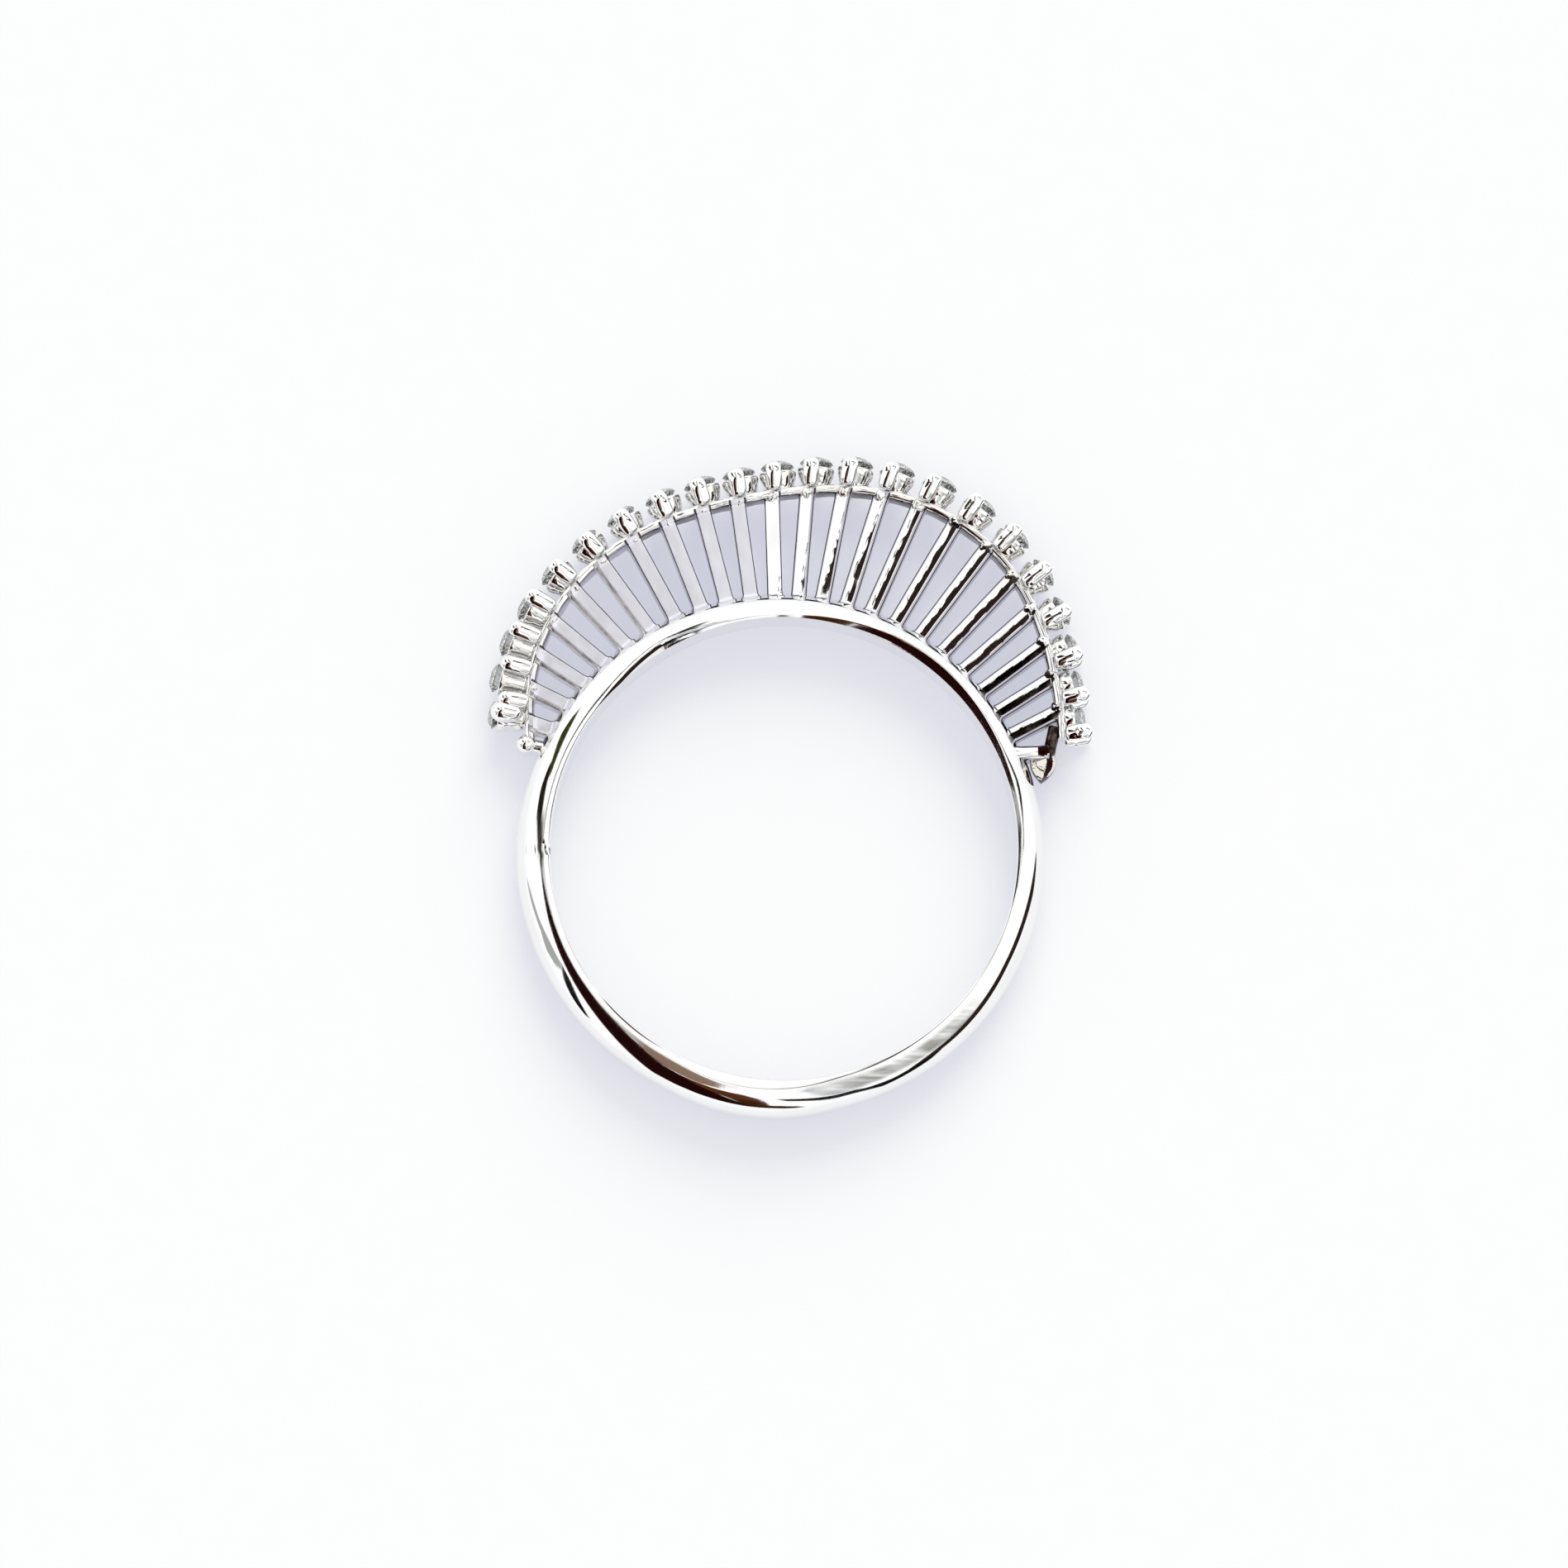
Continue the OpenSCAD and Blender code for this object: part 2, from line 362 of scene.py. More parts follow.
def white_metal(name, wear, polish, smudge, scratch, wave, metal, tarnish, stains=STAINS):
    """A polished white metal: how rough, smudged, scratched and wavy it is, and its two colours."""
    material, tree, shader = new_material(name)
    shader.inputs["Metallic"].default_value = 1.0
    effect = node(tree, "ShaderNodeGroup", "wear", node_tree=wear)
    for key, value in (("Polish", polish), ("Smudge", smudge), ("Scratch", scratch), ("Wave", wave),
                       ("Metal", metal), ("Tarnish", tarnish), ("Stains", stains)):
        effect.inputs[key].default_value = value
    wire(tree, (effect.outputs["Color"], shader.inputs["Base Color"]),
         (effect.outputs["Roughness"], shader.inputs["Roughness"]),
         (effect.outputs["Normal"], shader.inputs["Normal"]))
    material.diffuse_color = metal
    return material


wear = make_wear_group()
band_polish = white_metal("band_polish", wear, 0.035, 0.05, 0.35, 0.1,
                          (0.93, 0.93, 0.93, 1), (0.86, 0.85, 0.84, 1))


def add_satin_patch(material, angle, half_angle, r, half_r):
    """A dulled, brushed patch of the band: its place around the hole and its distance from the centre."""
    tree = material.node_tree
    shader, effect = tree.nodes["Principled BSDF"], next(n for n in tree.nodes if n.label == "wear")
    place = node(tree, "ShaderNodeTexCoord")
    split = node(tree, "ShaderNodeSeparateXYZ")
    heading = node(tree, "ShaderNodeMath", operation="ARCTAN2")
    out = node(tree, "ShaderNodeVectorMath", operation="LENGTH")
    level = node(tree, "ShaderNodeVectorMath", operation="MULTIPLY")
    level.inputs[1].default_value = (1, 1, 0)
    wire(tree, (place.outputs["Object"], split.inputs[0]), (split.outputs["Y"], heading.inputs[0]),
         (split.outputs["X"], heading.inputs[1]), (place.outputs["Object"], level.inputs[0]),
         (level.outputs["Vector"], out.inputs[0]))
    masks = []
    full = 0.45
    for source, middle, half in ((heading.outputs[0], math.radians(angle), math.radians(half_angle)),
                                 (out.outputs["Value"], r * MM, half_r * MM)):
        away = node(tree, "ShaderNodeMath", operation="SUBTRACT")
        away.inputs[1].default_value = middle
        apart = node(tree, "ShaderNodeMath", operation="ABSOLUTE")
        fade = node(tree, "ShaderNodeMapRange", From_Min=half * full, From_Max=half, To_Min=1.0, To_Max=0.0)
        wire(tree, (source, away.inputs[0]), (away.outputs[0], apart.inputs[0]),
             (apart.outputs[0], fade.inputs["Value"]))
        masks.append(fade.outputs["Result"])
    brushed = node(tree, "ShaderNodeMapping", "brushing", Scale=(700.0, 5200.0, 900.0),
                   Rotation=(0, 0, math.radians(-28)))
    grain = node(tree, "ShaderNodeTexNoise", "brushing", Scale=1.0, Detail=3.0)
    contrast = node(tree, "ShaderNodeMapRange", From_Min=0.35, From_Max=0.6)
    both = node(tree, "ShaderNodeMath", operation="MULTIPLY")
    patch = node(tree, "ShaderNodeMath", operation="MULTIPLY")
    dull = node(tree, "ShaderNodeMath", "rougher in the patch", operation="MULTIPLY_ADD")
    dull.inputs[1].default_value = 0.3
    tone = node(tree, "ShaderNodeMix", data_type="RGBA", B=(0.42, 0.42, 0.4, 1))
    wire(tree, (place.outputs["Object"], brushed.inputs["Vector"]),
         (brushed.outputs["Vector"], grain.inputs["Vector"]),
         (grain.outputs["Fac"], contrast.inputs["Value"]),
         (masks[0], both.inputs[0]), (masks[1], both.inputs[1]),
         (both.outputs[0], patch.inputs[0]), (contrast.outputs["Result"], patch.inputs[1]),
         (both.outputs[0], dull.inputs[0]), (effect.outputs["Roughness"], dull.inputs[2]),
         (dull.outputs[0], shader.inputs["Roughness"]),
         (patch.outputs[0], tone.inputs["Factor"]), (effect.outputs["Color"], tone.inputs["A"]),
         (tone.outputs["Result"], shader.inputs["Base Color"]))


add_satin_patch(band_polish, angle=-61, half_angle=24, r=8.98, half_r=0.26)
bar_polish = white_metal("bar_polish", wear, 0.05, 0.06, 0.3, 0.1,
                         (0.92, 0.92, 0.925, 1), (0.8, 0.79, 0.78, 1))
rail_polish = white_metal("rail_polish", wear, 0.05, 0.06, 0.3, 0.12,
                          (0.92, 0.915, 0.905, 1), (0.74, 0.71, 0.66, 1))
# Satin bars: a rougher finish, with a lilac tint that is a painted reflection of the shaded paper
bar_satin = white_metal("bar_satin", wear, 0.22, 0.2, 0.2, 0.2,
                        (0.88, 0.88, 0.94, 1), (0.72, 0.71, 0.77, 1))
# Painted shade: darker, duller metal for the bars' sides and outer strips, the rail's under edge over the
# first bars and the closing bar's edges
bar_side = white_metal("bar_side", wear, 0.2, 0.15, 0.3, 0.2,
                       (0.56, 0.55, 0.6, 1), (0.34, 0.31, 0.31, 1))
# Painted dark reflection in ragged black blotches, along the lower edge of the first bars
bar_ragged = white_metal("bar_ragged", wear, 0.15, 0.2, 0.4, 0.5,
                         (0.8, 0.77, 0.74, 1), (0.02, 0.012, 0.01, 1), 2600.0)
# Painted dark reflection: near black, on the bars' edges and the leaf's steep sides
bar_edge = white_metal("bar_edge", wear, 0.25, 0.15, 0.3, 0.2,
                       (0.085, 0.066, 0.08, 1), (0.05, 0.037, 0.042, 1))
# Painted shade and dark reflection: black with brownish spots, on the rail's under edge, the right knots, the
# last bars' right facets and the rail's end
painted_black_shade = white_metal("painted_black_shade", wear, 0.12, 0.1, 0.3, 0.4,
                          (0.014, 0.009, 0.008, 1), (0.42, 0.33, 0.27, 1), 2200.0)
# Painted shade in dark red: the oval on the closing bar and the stripe on the leaf
painted_shade_dark_red = white_metal("painted_shade_dark_red", wear, 0.12, 0.1, 0.3, 0.2,
                        (0.02, 0.003, 0.003, 1), (0.008, 0.004, 0.004, 1))
# Polished leaf whose beige tint is a painted reflection of the beige surroundings
leaf_polish_painted_beige = white_metal("leaf_polish_painted_beige", wear, 0.05, 0.06, 0.2, 0.1,
                          (0.82, 0.79, 0.72, 1), (0.5, 0.44, 0.36, 1))
cup_polish = white_metal("cup_polish", wear, 0.04, 0.06, 0.2, 0.12,
                         (0.92, 0.915, 0.9, 1), (0.76, 0.73, 0.68, 1))
claw_polish = white_metal("claw_polish", wear, 0.03, 0.04, 0.2, 0.06,
                          (0.93, 0.93, 0.93, 1), (0.84, 0.83, 0.81, 1))


def make_diamond():
    """Clear stone, with a faint tint that changes from stone to stone and fine polish lines."""
    material, tree, shader = new_material("diamond")
    shader.inputs["Transmission Weight"].default_value = 0.92
    shader.inputs["IOR"].default_value = 2.417
    place = node(tree, "ShaderNodeTexCoord")
    tint = node(tree, "ShaderNodeTexNoise", "tint from stone to stone", Scale=700.0, Detail=1.0)
    colour = node(tree, "ShaderNodeMix", data_type="RGBA", A=(0.95, 0.965, 0.955, 1), B=(0.84, 0.87, 0.82, 1))
    lines = node(tree, "ShaderNodeTexNoise", "polish lines", Scale=5200.0, Detail=2.0)
    rough = node(tree, "ShaderNodeMapRange", To_Min=0.0, To_Max=0.03)
    wire(tree, (place.outputs["Object"], tint.inputs["Vector"]),
         (tint.outputs["Fac"], colour.inputs["Factor"]),
         (colour.outputs["Result"], shader.inputs["Base Color"]),
         (place.outputs["Object"], lines.inputs["Vector"]), (lines.outputs["Fac"], rough.inputs["Value"]),
         (rough.outputs["Result"], shader.inputs["Roughness"]))
    return material


# Band
def section_mid(angle):
    """How far out the middle of the band's section lies, with the fuller foot blended in."""
    lean = angle - SWELL_AT
    even = HOLE_R + SECTION_OUT
    wide = HOLE_R + SECTION_OUT + FOOT_SWELL - SWELL_SHIFT
    full = SWELL_SHIFT * cosd(lean) + math.sqrt(wide ** 2 - (SWELL_SHIFT * sind(lean)) ** 2)
    soft, largest = 0.02, 60
    return even + soft * math.log(1 + math.exp(min((full - even) / soft, largest)))


def wall_at(angle):
    """How far the finger hole's wall is from the middle that the outside was filed about."""
    lead = OFF.dot(Vector((cosd(angle), sind(angle), 0)))
    return -lead + math.sqrt(lead * lead - OFF.dot(OFF) + HOLE_R * HOLE_R)


def inner_ease(angle):
    """Radius of the rounded inner edges."""
    return 0.1 + 0.12 * swell(angle, 180, 32)


# The facet worn along the face's inner edge: where it is (degrees), how wide and how steep (degrees)
WORN = ((-30, 0, 18), (-12, 0.1, 17), (-4, 0.15, 12), (4, 0.2, 6), (12, 0.21, 5), (20, 0.22, 8),
        (28, 0.25, 11), (37, 0.29, 14), (50, 0.34, 18), (62, 0.31, 27), (75, 0.19, 33), (88, 0.1, 37),
        (101, 0.07, 40), (112, 0.17, 42), (120, 0.32, 44), (128, 0.22, 44), (138, 0.09, 43), (158, 0, 43))


def worn_at(angle):
    """Width and steepness of the worn facet at one place of the band."""
    for (a, wide, steep), (b, wide_b, steep_b) in zip(WORN, WORN[1:]):
        if a <= angle <= b:
            part = (angle - a) / (b - a)
            return wide + part * (wide_b - wide), steep + part * (steep_b - steep)
    return 0, 0


def make_shank():
    """The band: a round section with a straight inside, spun, filed off centre and fuller at its foot."""
    mid = HOLE_R + SECTION_OUT
    band = ring("shank", 112, SECTION_R, (mid, 0, 0), (math.radians(90), 0, 0))
    bpy.ops.mesh.spin(steps=240, angle=math.tau, center=(0, 0, 0), axis=(0, 0, 1))
    closed(band)
    # where round the section the outside's arc ends and the straight inside begins, in degrees
    arc_ends, ease_ends = 100, 150

    def filed(c):
        angle = math.degrees(math.atan2(c.y, c.x))
        out, wall, ease = section_mid(angle), wall_at(angle), inner_ease(angle)
        on = math.degrees(math.atan2(abs(c.z), math.hypot(c.x, c.y) - mid))
        x = wall + ease - out
        z = math.sqrt((SECTION_R - ease) ** 2 - x * x)
        meets = math.degrees(math.atan2(z, x))
        if on <= arc_ends:
            a = on / arc_ends * meets
            far, high = out + SECTION_R * cosd(a), SECTION_R * sind(a)
        elif on <= ease_ends:
            a = meets + (on - arc_ends) / (ease_ends - arc_ends) * (180 - meets)
            far, high = wall + ease + ease * cosd(a), z + ease * sind(a)
        else:
            far, high = wall, z * (180 - on) / (180 - ease_ends)
        worn_w, steep = worn_at(angle)
        begins = wall + worn_w
        if far < begins and on < ease_ends:
            high = min(high, math.sqrt(SECTION_R ** 2 - (begins - out) ** 2)
                       - math.tan(math.radians(steep)) * (begins - far))
        return Vector((cosd(angle) * far, sind(angle) * far, math.copysign(high, c.z))) + OFF

    reshape(band, filed)
    return band


# Rail
def make_rail():
    """The rail: a flat strip with rounded corners, bent along the curve of the head."""
    put_down()
    bpy.ops.mesh.primitive_plane_add(size=1)
    section = started("rail_section")
    bpy.ops.transform.resize(value=(RAIL_T, RAIL_W, 1))
    bpy.ops.mesh.bevel(offset=0.16, offset_pct=0, segments=8, affect="VERTICES")
    bpy.ops.mesh.delete(type="ONLY_FACE")
    switch_to("OBJECT")
    bpy.ops.object.convert(target="CURVE")
    line = bpy.data.curves.new("rail", "CURVE")
    line.dimensions = "3D"
    line.twist_mode = "Z_UP"
    run = line.splines.new("POLY")
    steps = 160
    stops = [RAIL_FROM + (RAIL_TO - RAIL_FROM) * k / steps for k in range(steps + 1)]
    run.points.add(len(stops) - 1)
    for point, angle in zip(run.points, stops):
        point.co = (*rail_at(angle, RAIL_T / 2), 1)
    line.bevel_mode = "OBJECT"
    line.bevel_object = section
    line.use_fill_caps = True
    rail = bpy.data.objects.new("rail", line)
    bpy.context.collection.objects.link(rail)
    take(rail)
    bpy.ops.object.convert(target="MESH")
    rail = bpy.context.object
    bpy.data.objects.remove(section)
    switch_to("EDIT")
    closed(rail)
    hand_filed(rail, 0.06, 0.3)
    return rail


def finish_rail(rail):
    """The rail's under edge, towards the hole, has painted shade: black, less dark over the first bars."""
    facing, darker_from = 0.85, -5.4
    rail.data.materials.append(painted_black_shade)
    rail.data.materials.append(bar_side)
    for face in rail.data.polygons:
        inward = (HEAD_C * MM - face.center) * Vector((1, 1, 0))
        if face.normal.dot(inward.normalized()) > facing:
            face.material_index = 1 if face.center.x > darker_from * MM else 2


# Fan bars
# How a bar widens into the solder at its foot: height, and how much wider; half as much at its head
FLARE = ((0.0, 0.09), (0.03, 0.055), (0.07, 0.026), (0.12, 0.008), (0.18, 0.0))
# How far from the hole a bar's line starts
FOOT_IN = 0.5
# How far a bar is sunk in the band, and where it ends in the rail when it is one millimetre long
BAR_SUNK, BAR_ENDS = 0.4, 1.16
# Steps over a bar's face and round its corners
FACE_STEPS, CORNER_STEPS = 15, 4
# How many bars at the left have a satin face with a painted lilac reflection, and how many of them a ragged
# lower edge with a painted dark reflection
SATIN_BARS, RAGGED_BARS = 10, 6
# The first of the right bars, of the ones with painted black on their right facet and of the knots with a
# painted dark reflection towards their bars
RIGHT_FROM, PAINTED_BLACK_FROM, PAINTED_DARK_KNOTS = 11, 19, 15
# How far to the right a bar's dark facet reaches, and how steep it is on the right bars (degrees)
BLACK_ENDS = 0.62
BLACK_FALL = (43, 41, 38, 36, 37, 38.5, 40, 40, 42, 42, 42)


def bar_outline(deep, wide, corner):
    """The bar's section: a rectangle with rounded corners, its front and rear faces in fine steps."""
    core = 0.2
    side = []
    for k in range(FACE_STEPS):
        side.append((deep, (wide - corner) * (2 * k / FACE_STEPS - 1)))
    for k in range(CORNER_STEPS):
        a = 90 * k / CORNER_STEPS
        side.append((deep - corner + corner * cosd(a), wide - corner + corner * sind(a)))
    side += [(deep - corner, wide), (core, wide), (-core, wide)]
    for k in range(CORNER_STEPS):
        a = 90 + 90 * k / CORNER_STEPS
        side.append((corner - deep + corner * cosd(a), wide - corner + corner * sind(a)))
    return side + [(-x, -y) for x, y in side]


def make_bar_model():
    """One bar of the fan, one millimetre between its two flared ends, standing on its foot."""
    deep, wide = BAR_W / 2, BAR_T / 2
    widest = FLARE[0][1]
    outline = bar_outline(deep + widest, wide + widest, 0.05)
    corners = len(outline)
    bar = ring("bar_model", corners, 1, (0, 0, -BAR_SUNK))
    switch_to("OBJECT")
    reshape(bar, lambda c: Vector((*outline[round(math.atan2(c.y, c.x) / math.tau * corners)], c.z)))
    switch_to("EDIT")
    last, flare = -BAR_SUNK, widest
    head = [(1 - z, 0.5 * wider) for z, wider in reversed(FLARE)]
    for z, wider in (*FLARE, *head, (BAR_ENDS, 0.5 * widest)):
        bpy.ops.mesh.extrude_region_move(TRANSFORM_OT_translate={"value": (0, 0, z - last)})
        bpy.ops.transform.resize(value=((deep + wider) / (deep + flare), (wide + wider) / (wide + flare), 1),
                                 center_override=(0, 0, z))
        last, flare = z, wider
    for end in (-BAR_SUNK, BAR_ENDS):
        pick(bar, lambda c: abs(c.z - end) < NEAR)
        bpy.ops.mesh.edge_face_add()
    return closed(bar)


def band_reach(foot, way):
    """How far from its foot a bar comes out of the band, whose outside falls away from its widest circle."""
    outside, falls = HOLE_R + SECTION_OUT + SECTION_R, 0.19
    near = foot - OFF
    ahead = near.dot(way)
    return -ahead + math.sqrt(ahead * ahead - near.dot(near) + outside * outside) - falls


def bar_line(i):
    """Where a bar starts, the way it points and its left hand."""
    foot = (HOLE_R + FOOT_IN) * Vector((cosd(foot_angle(i)), sind(foot_angle(i)), 0))
    way = (rail_at(bar_angle(i), RAIL_T) - foot).normalized()
    return foot, way, Vector((-way.y, way.x, 0))


def make_bar(model, i):
    """One bar at its place: drawn to its length, its head cut along the rail and its faces filed."""
    foot, way = bar_line(i)[:2]
    out = band_reach(foot, way)
    under = rail_at(bar_angle(i), 0)
    tangent = rail_at(bar_angle(i) + 1) - rail_at(bar_angle(i) - 1)
    normal = Vector((tangent.y, -tangent.x, 0)).normalized()
    reach = (under - foot).dot(normal) / way.dot(normal)
    length = reach - out
    bar = copied(model, "bar_%02d" % (i + 1))
    take(bar)
    switch_to("EDIT")
    pick(bar, lambda c: c.z > 0.5)
    bpy.ops.transform.translate(value=(0, 0, length - 1))
    lean = math.atan2(way.x * normal.y - way.y * normal.x, way.dot(normal))
    pick(bar, lambda c: c.z > length - 0.3)
    mesh = bmesh.from_edit_mesh(bar.data)
    for corner in mesh.verts:
        if corner.select:
            corner.co.z -= corner.co.y * math.tan(lean)
    bmesh.update_edit_mesh(bar.data)
    end, step = 0.28, 0.16
    steps = max(3, int(length / step))
    for k in range(1, steps):
        bpy.ops.mesh.select_all(action="SELECT")
        bpy.ops.mesh.bisect(plane_co=(0, 0, end + (length - 2 * end) * k / steps), plane_no=(0, 0, 1))
    switch_to("OBJECT")
    half, core = BAR_T / 2, 0.25
    begun = [hand.uniform(0, math.tau) for k in range(2)]
    # how steeply the face falls to the left of its crest, to the right of it and past the dark facet
    left_fall, right_fall, edge_fall = 0.58, math.tan(math.radians(BLACK_FALL[max(i - RIGHT_FROM, 0)])), 0.12

    def filed(c):
        if abs(c.x) < core:
            return c
        y = max(min(c.y, half), -half)
        if i < SATIN_BARS:
            # the ragged bars fall away a little along their left edge
            drop = 0.1 * min(max(y / half - 0.55, 0) / 0.3, 1) if i < RAGGED_BARS else 0
        else:
            along = c.z / length
            # the dark facet tapers in from the foot over the first few polished bars
            cut = min(max((i - 10.6) / 2.4 - 1.4 * along + 0.5, 0), 1) if i < 14 else 1
            wavy = 0.07 * math.sin(4.1 * c.z + begun[0]) + 0.02 * math.sin(9.7 * c.z + begun[1])
            crest = half * (-BLACK_ENDS + cut * (BLACK_ENDS + 0.14 - 0.16 * (along - 0.5) + wavy))
            low = max(y, -BLACK_ENDS * half)
            if y > crest:
                drop = left_fall * (y - crest)
            else:
                drop = right_fall * (crest - low) + edge_fall * (low - y)
        return Vector((c.x - math.copysign(drop, c.x), c.y, c.z))

    reshape(bar, filed)
    at = foot + way * out
    bar.data.transform(Matrix.Translation(at) @ Matrix.Rotation(bearing(way), 4, "Z")
                       @ Matrix.Rotation(math.radians(90), 4, "Y"))
    hand_filed(bar, 0.015 if i < SATIN_BARS else 0.005, 0.45)
    return bar


def flare_at(along):
    """How much wider a bar is at a height above its foot."""
    for (z, wide), (z_b, wide_b) in zip(FLARE, FLARE[1:]):
        if along < z_b:
            return wide + (wide_b - wide) * max((along - z) / (z_b - z), 0)
    return 0


def finish_bar(bar, i):
    """A bar's edges get a painted dark reflection and its sides painted shade, duller than its face; the
    first bars have a ragged lower edge of painted dark reflection, the right bars painted shade on their
    outer strips and the last bars painted black on their right facet.
    """
    # slots of the painted side shade, the painted dark edge, the ragged painted reflection and the painted
    # black
    side, edge, ragged, dark = 1, 2, 3, 4
    # where across the face each begins, as a share of half its width
    ragged_from, edge_from, painted_shade_from = 0.68, 0.86, 0.7
    for more in (bar_side, bar_edge, bar_ragged, painted_black_shade):
        bar.data.materials.append(more)
    foot, way, left = bar_line(i)
    out = band_reach(foot, way)
    for face in bar.data.polygons:
        off = face.center / MM - foot
        across = off.dot(left) / (BAR_T / 2 + flare_at(off.dot(way) - out))
        if abs(face.normal.z) < 0.3:
            face.material_index = ragged if i < RAGGED_BARS and across > 0 else side
        elif i < RAGGED_BARS and across > ragged_from:
            face.material_index = ragged
        elif abs(across) > edge_from:
            face.material_index = edge
        elif i >= RIGHT_FROM and (across < -BLACK_ENDS or across > painted_shade_from):
            face.material_index = side
        elif i >= PAINTED_BLACK_FROM and face.normal.dot(left) < -0.5:
            face.material_index = dark


def make_knot(i):
    """The solder where a bar meets the rail, drawn out across the depth of the rail."""
    wide, reach = 0.2 + 0.08 * swell(i, 17, 5), 0.66
    knot = sphere("knot_%02d" % (i + 1), 24, 16, wide, rail_at(bar_angle(i), 0.1 * RAIL_T))
    for side in (-1, 1):
        pick(knot, lambda c: c.z * side > NEAR)
        bpy.ops.transform.translate(value=(0, 0, side * (reach - wide)))
    closed(knot)
    hand_filed(knot, 0.13, 0.2)
    return knot


def finish_knot(knot, i):
    """On the right shoulder the solder has a painted dark reflection on the side towards the bar."""
    knot.data.materials.append(painted_black_shade)
    way, left = bar_line(i)[1:]
    for face in knot.data.polygons:
        below, not_left = face.normal.dot(way) < 0.1, face.normal.dot(left) < 0.5
        if below and not_left:
            face.material_index = 1


# Cups
# Radius of a cup at its lip, height of its rim, of its foot and of the bottom of the cone inside
CUP_R, CUP_RIM, CUP_FOOT, CUP_FLOOR = 0.70, 0.91, 0.05, 0.52


def make_cup_model():
    """One cup at the size of the largest stones, with its lip and the cone that the stone sits in."""
    foot_r, rim = 0.34, CUP_RIM
    cup = ring("cup_model", 28, foot_r, (0, 0, CUP_FOOT))
    outside = [(0.12, 0.37, 0), (0.25, 0.45, 0), (0.38, 0.53, 0), (0.5, 0.6, 0), (0.62, 0.655, 0)]
    lip = [(rim - 0.16, 0.69, 0), (rim - 0.07, CUP_R, 0), (rim - 0.02, CUP_R - 0.005, 0),
           (rim + 0.01, CUP_R - 0.035, 0), (rim - 0.01, CUP_R - 0.07, 0), (rim - 0.06, CUP_R - 0.11, 0)]
    cone = [(0.72, 0.45, 0), (0.6, 0.3, 0), (CUP_FLOOR, 0.14, 0)]
    draw_up((CUP_FOOT, foot_r, 0), outside + lip + cone)
    close_round(cup, lambda c: abs(c.z - CUP_FLOOR) < NEAR)
    close_round(cup, lambda c: abs(c.z - CUP_FOOT) < NEAR)
    closed(cup)
    modifier(cup, "SUBSURF", levels=1, render_levels=1)
    return cup


def make_cup(model, i):
    """One cup, as wide as its stone needs and drawn up to just under its girdle."""
    wall, under_girdle, waist = 0.09, 0.2, 0.45
    cup = copied(model, "cup_%02d" % (i + 1))
    take(cup)
    switch_to("EDIT")
    wide = (stone_d(i) / 2 + wall) / CUP_R
    bpy.ops.mesh.select_all(action="SELECT")
    bpy.ops.transform.resize(value=(wide, wide, 1), center_override=(0, 0, 0))
    pick(cup, lambda c: c.z > waist)
    bpy.ops.transform.translate(value=(0, 0, girdle_h(i) - under_girdle - CUP_RIM))
    switch_to("OBJECT")
    cup.data.transform(on_rail(i))
    hand_filed(cup, 0.012, 0.4)
    return cup


# Claws
# Where round its end a claw's rings lie, and the height of its tip over the rail in the model
CAP_RINGS, CLAW_TIP = (0, 18, 36, 54, 70, 82), 1.32


def make_claw_model():
    """One claw, flatter than wide, from its root on the rail to the rounded end pressed over the stone."""
    root, root_r, lean, ball = 0.2, 0.19, 0.2, CLAW_TIP - CLAW_R
    claw = ring("claw_model", 20, root_r, (lean, 0, root))
    shaft = [(0.26, 0.225, 0.19), (0.34, 0.25, 0.17), (0.45, 0.27, 0.135), (0.58, 0.282, 0.09),
             (0.72, 0.288, 0.045), (0.84, 0.29, 0.015), (0.94, 0.287, 0.002)]
    cap = [(ball + CLAW_R * sind(a), CLAW_R * cosd(a), 0.1 * sind(a) ** 3) for a in CAP_RINGS]
    draw_up((root, root_r, lean), shaft + cap)
    close_round(claw, lambda c: c.z > ball + CLAW_R * sind(CAP_RINGS[-1]) - NEAR)
    close_round(claw, lambda c: c.z < root + NEAR)
    closed(claw)
    modifier(claw, "SUBSURF", levels=1, render_levels=1)
    flat, back, broad = 0.58, 0.07, 1.07
    reshape(claw, lambda c: Vector((flat * c.x - back, broad * c.y, c.z)))
    return claw


def make_claw(model, i, side):
    """side -1 is the front that is seen, +1 the rear."""
    name = ("claw_%02d" if side < 0 else "rear_claw_%02d") % (i + 1)
    claw = copied(model, name)
    take(claw)
    shoulder = 0.7
    switch_to("EDIT")
    pick(claw, lambda c: c.z > shoulder)
    bpy.ops.transform.translate(value=(0, 0, tip_h(i) - CLAW_TIP))
    switch_to("OBJECT")
    size = 1 + hand.uniform(-0.03, 0.03)
    facing = Matrix.Rotation(0 if side < 0 else math.pi, 4, "Z")
    claw.data.transform(on_rail(i) @ Matrix.Translation((side * CLAW_OUT, claw_lead(i), 0))
                        @ facing @ Matrix.Diagonal((size, size, 1, 1)))
    hand_filed(claw, 0.01, 0.4)
    return claw


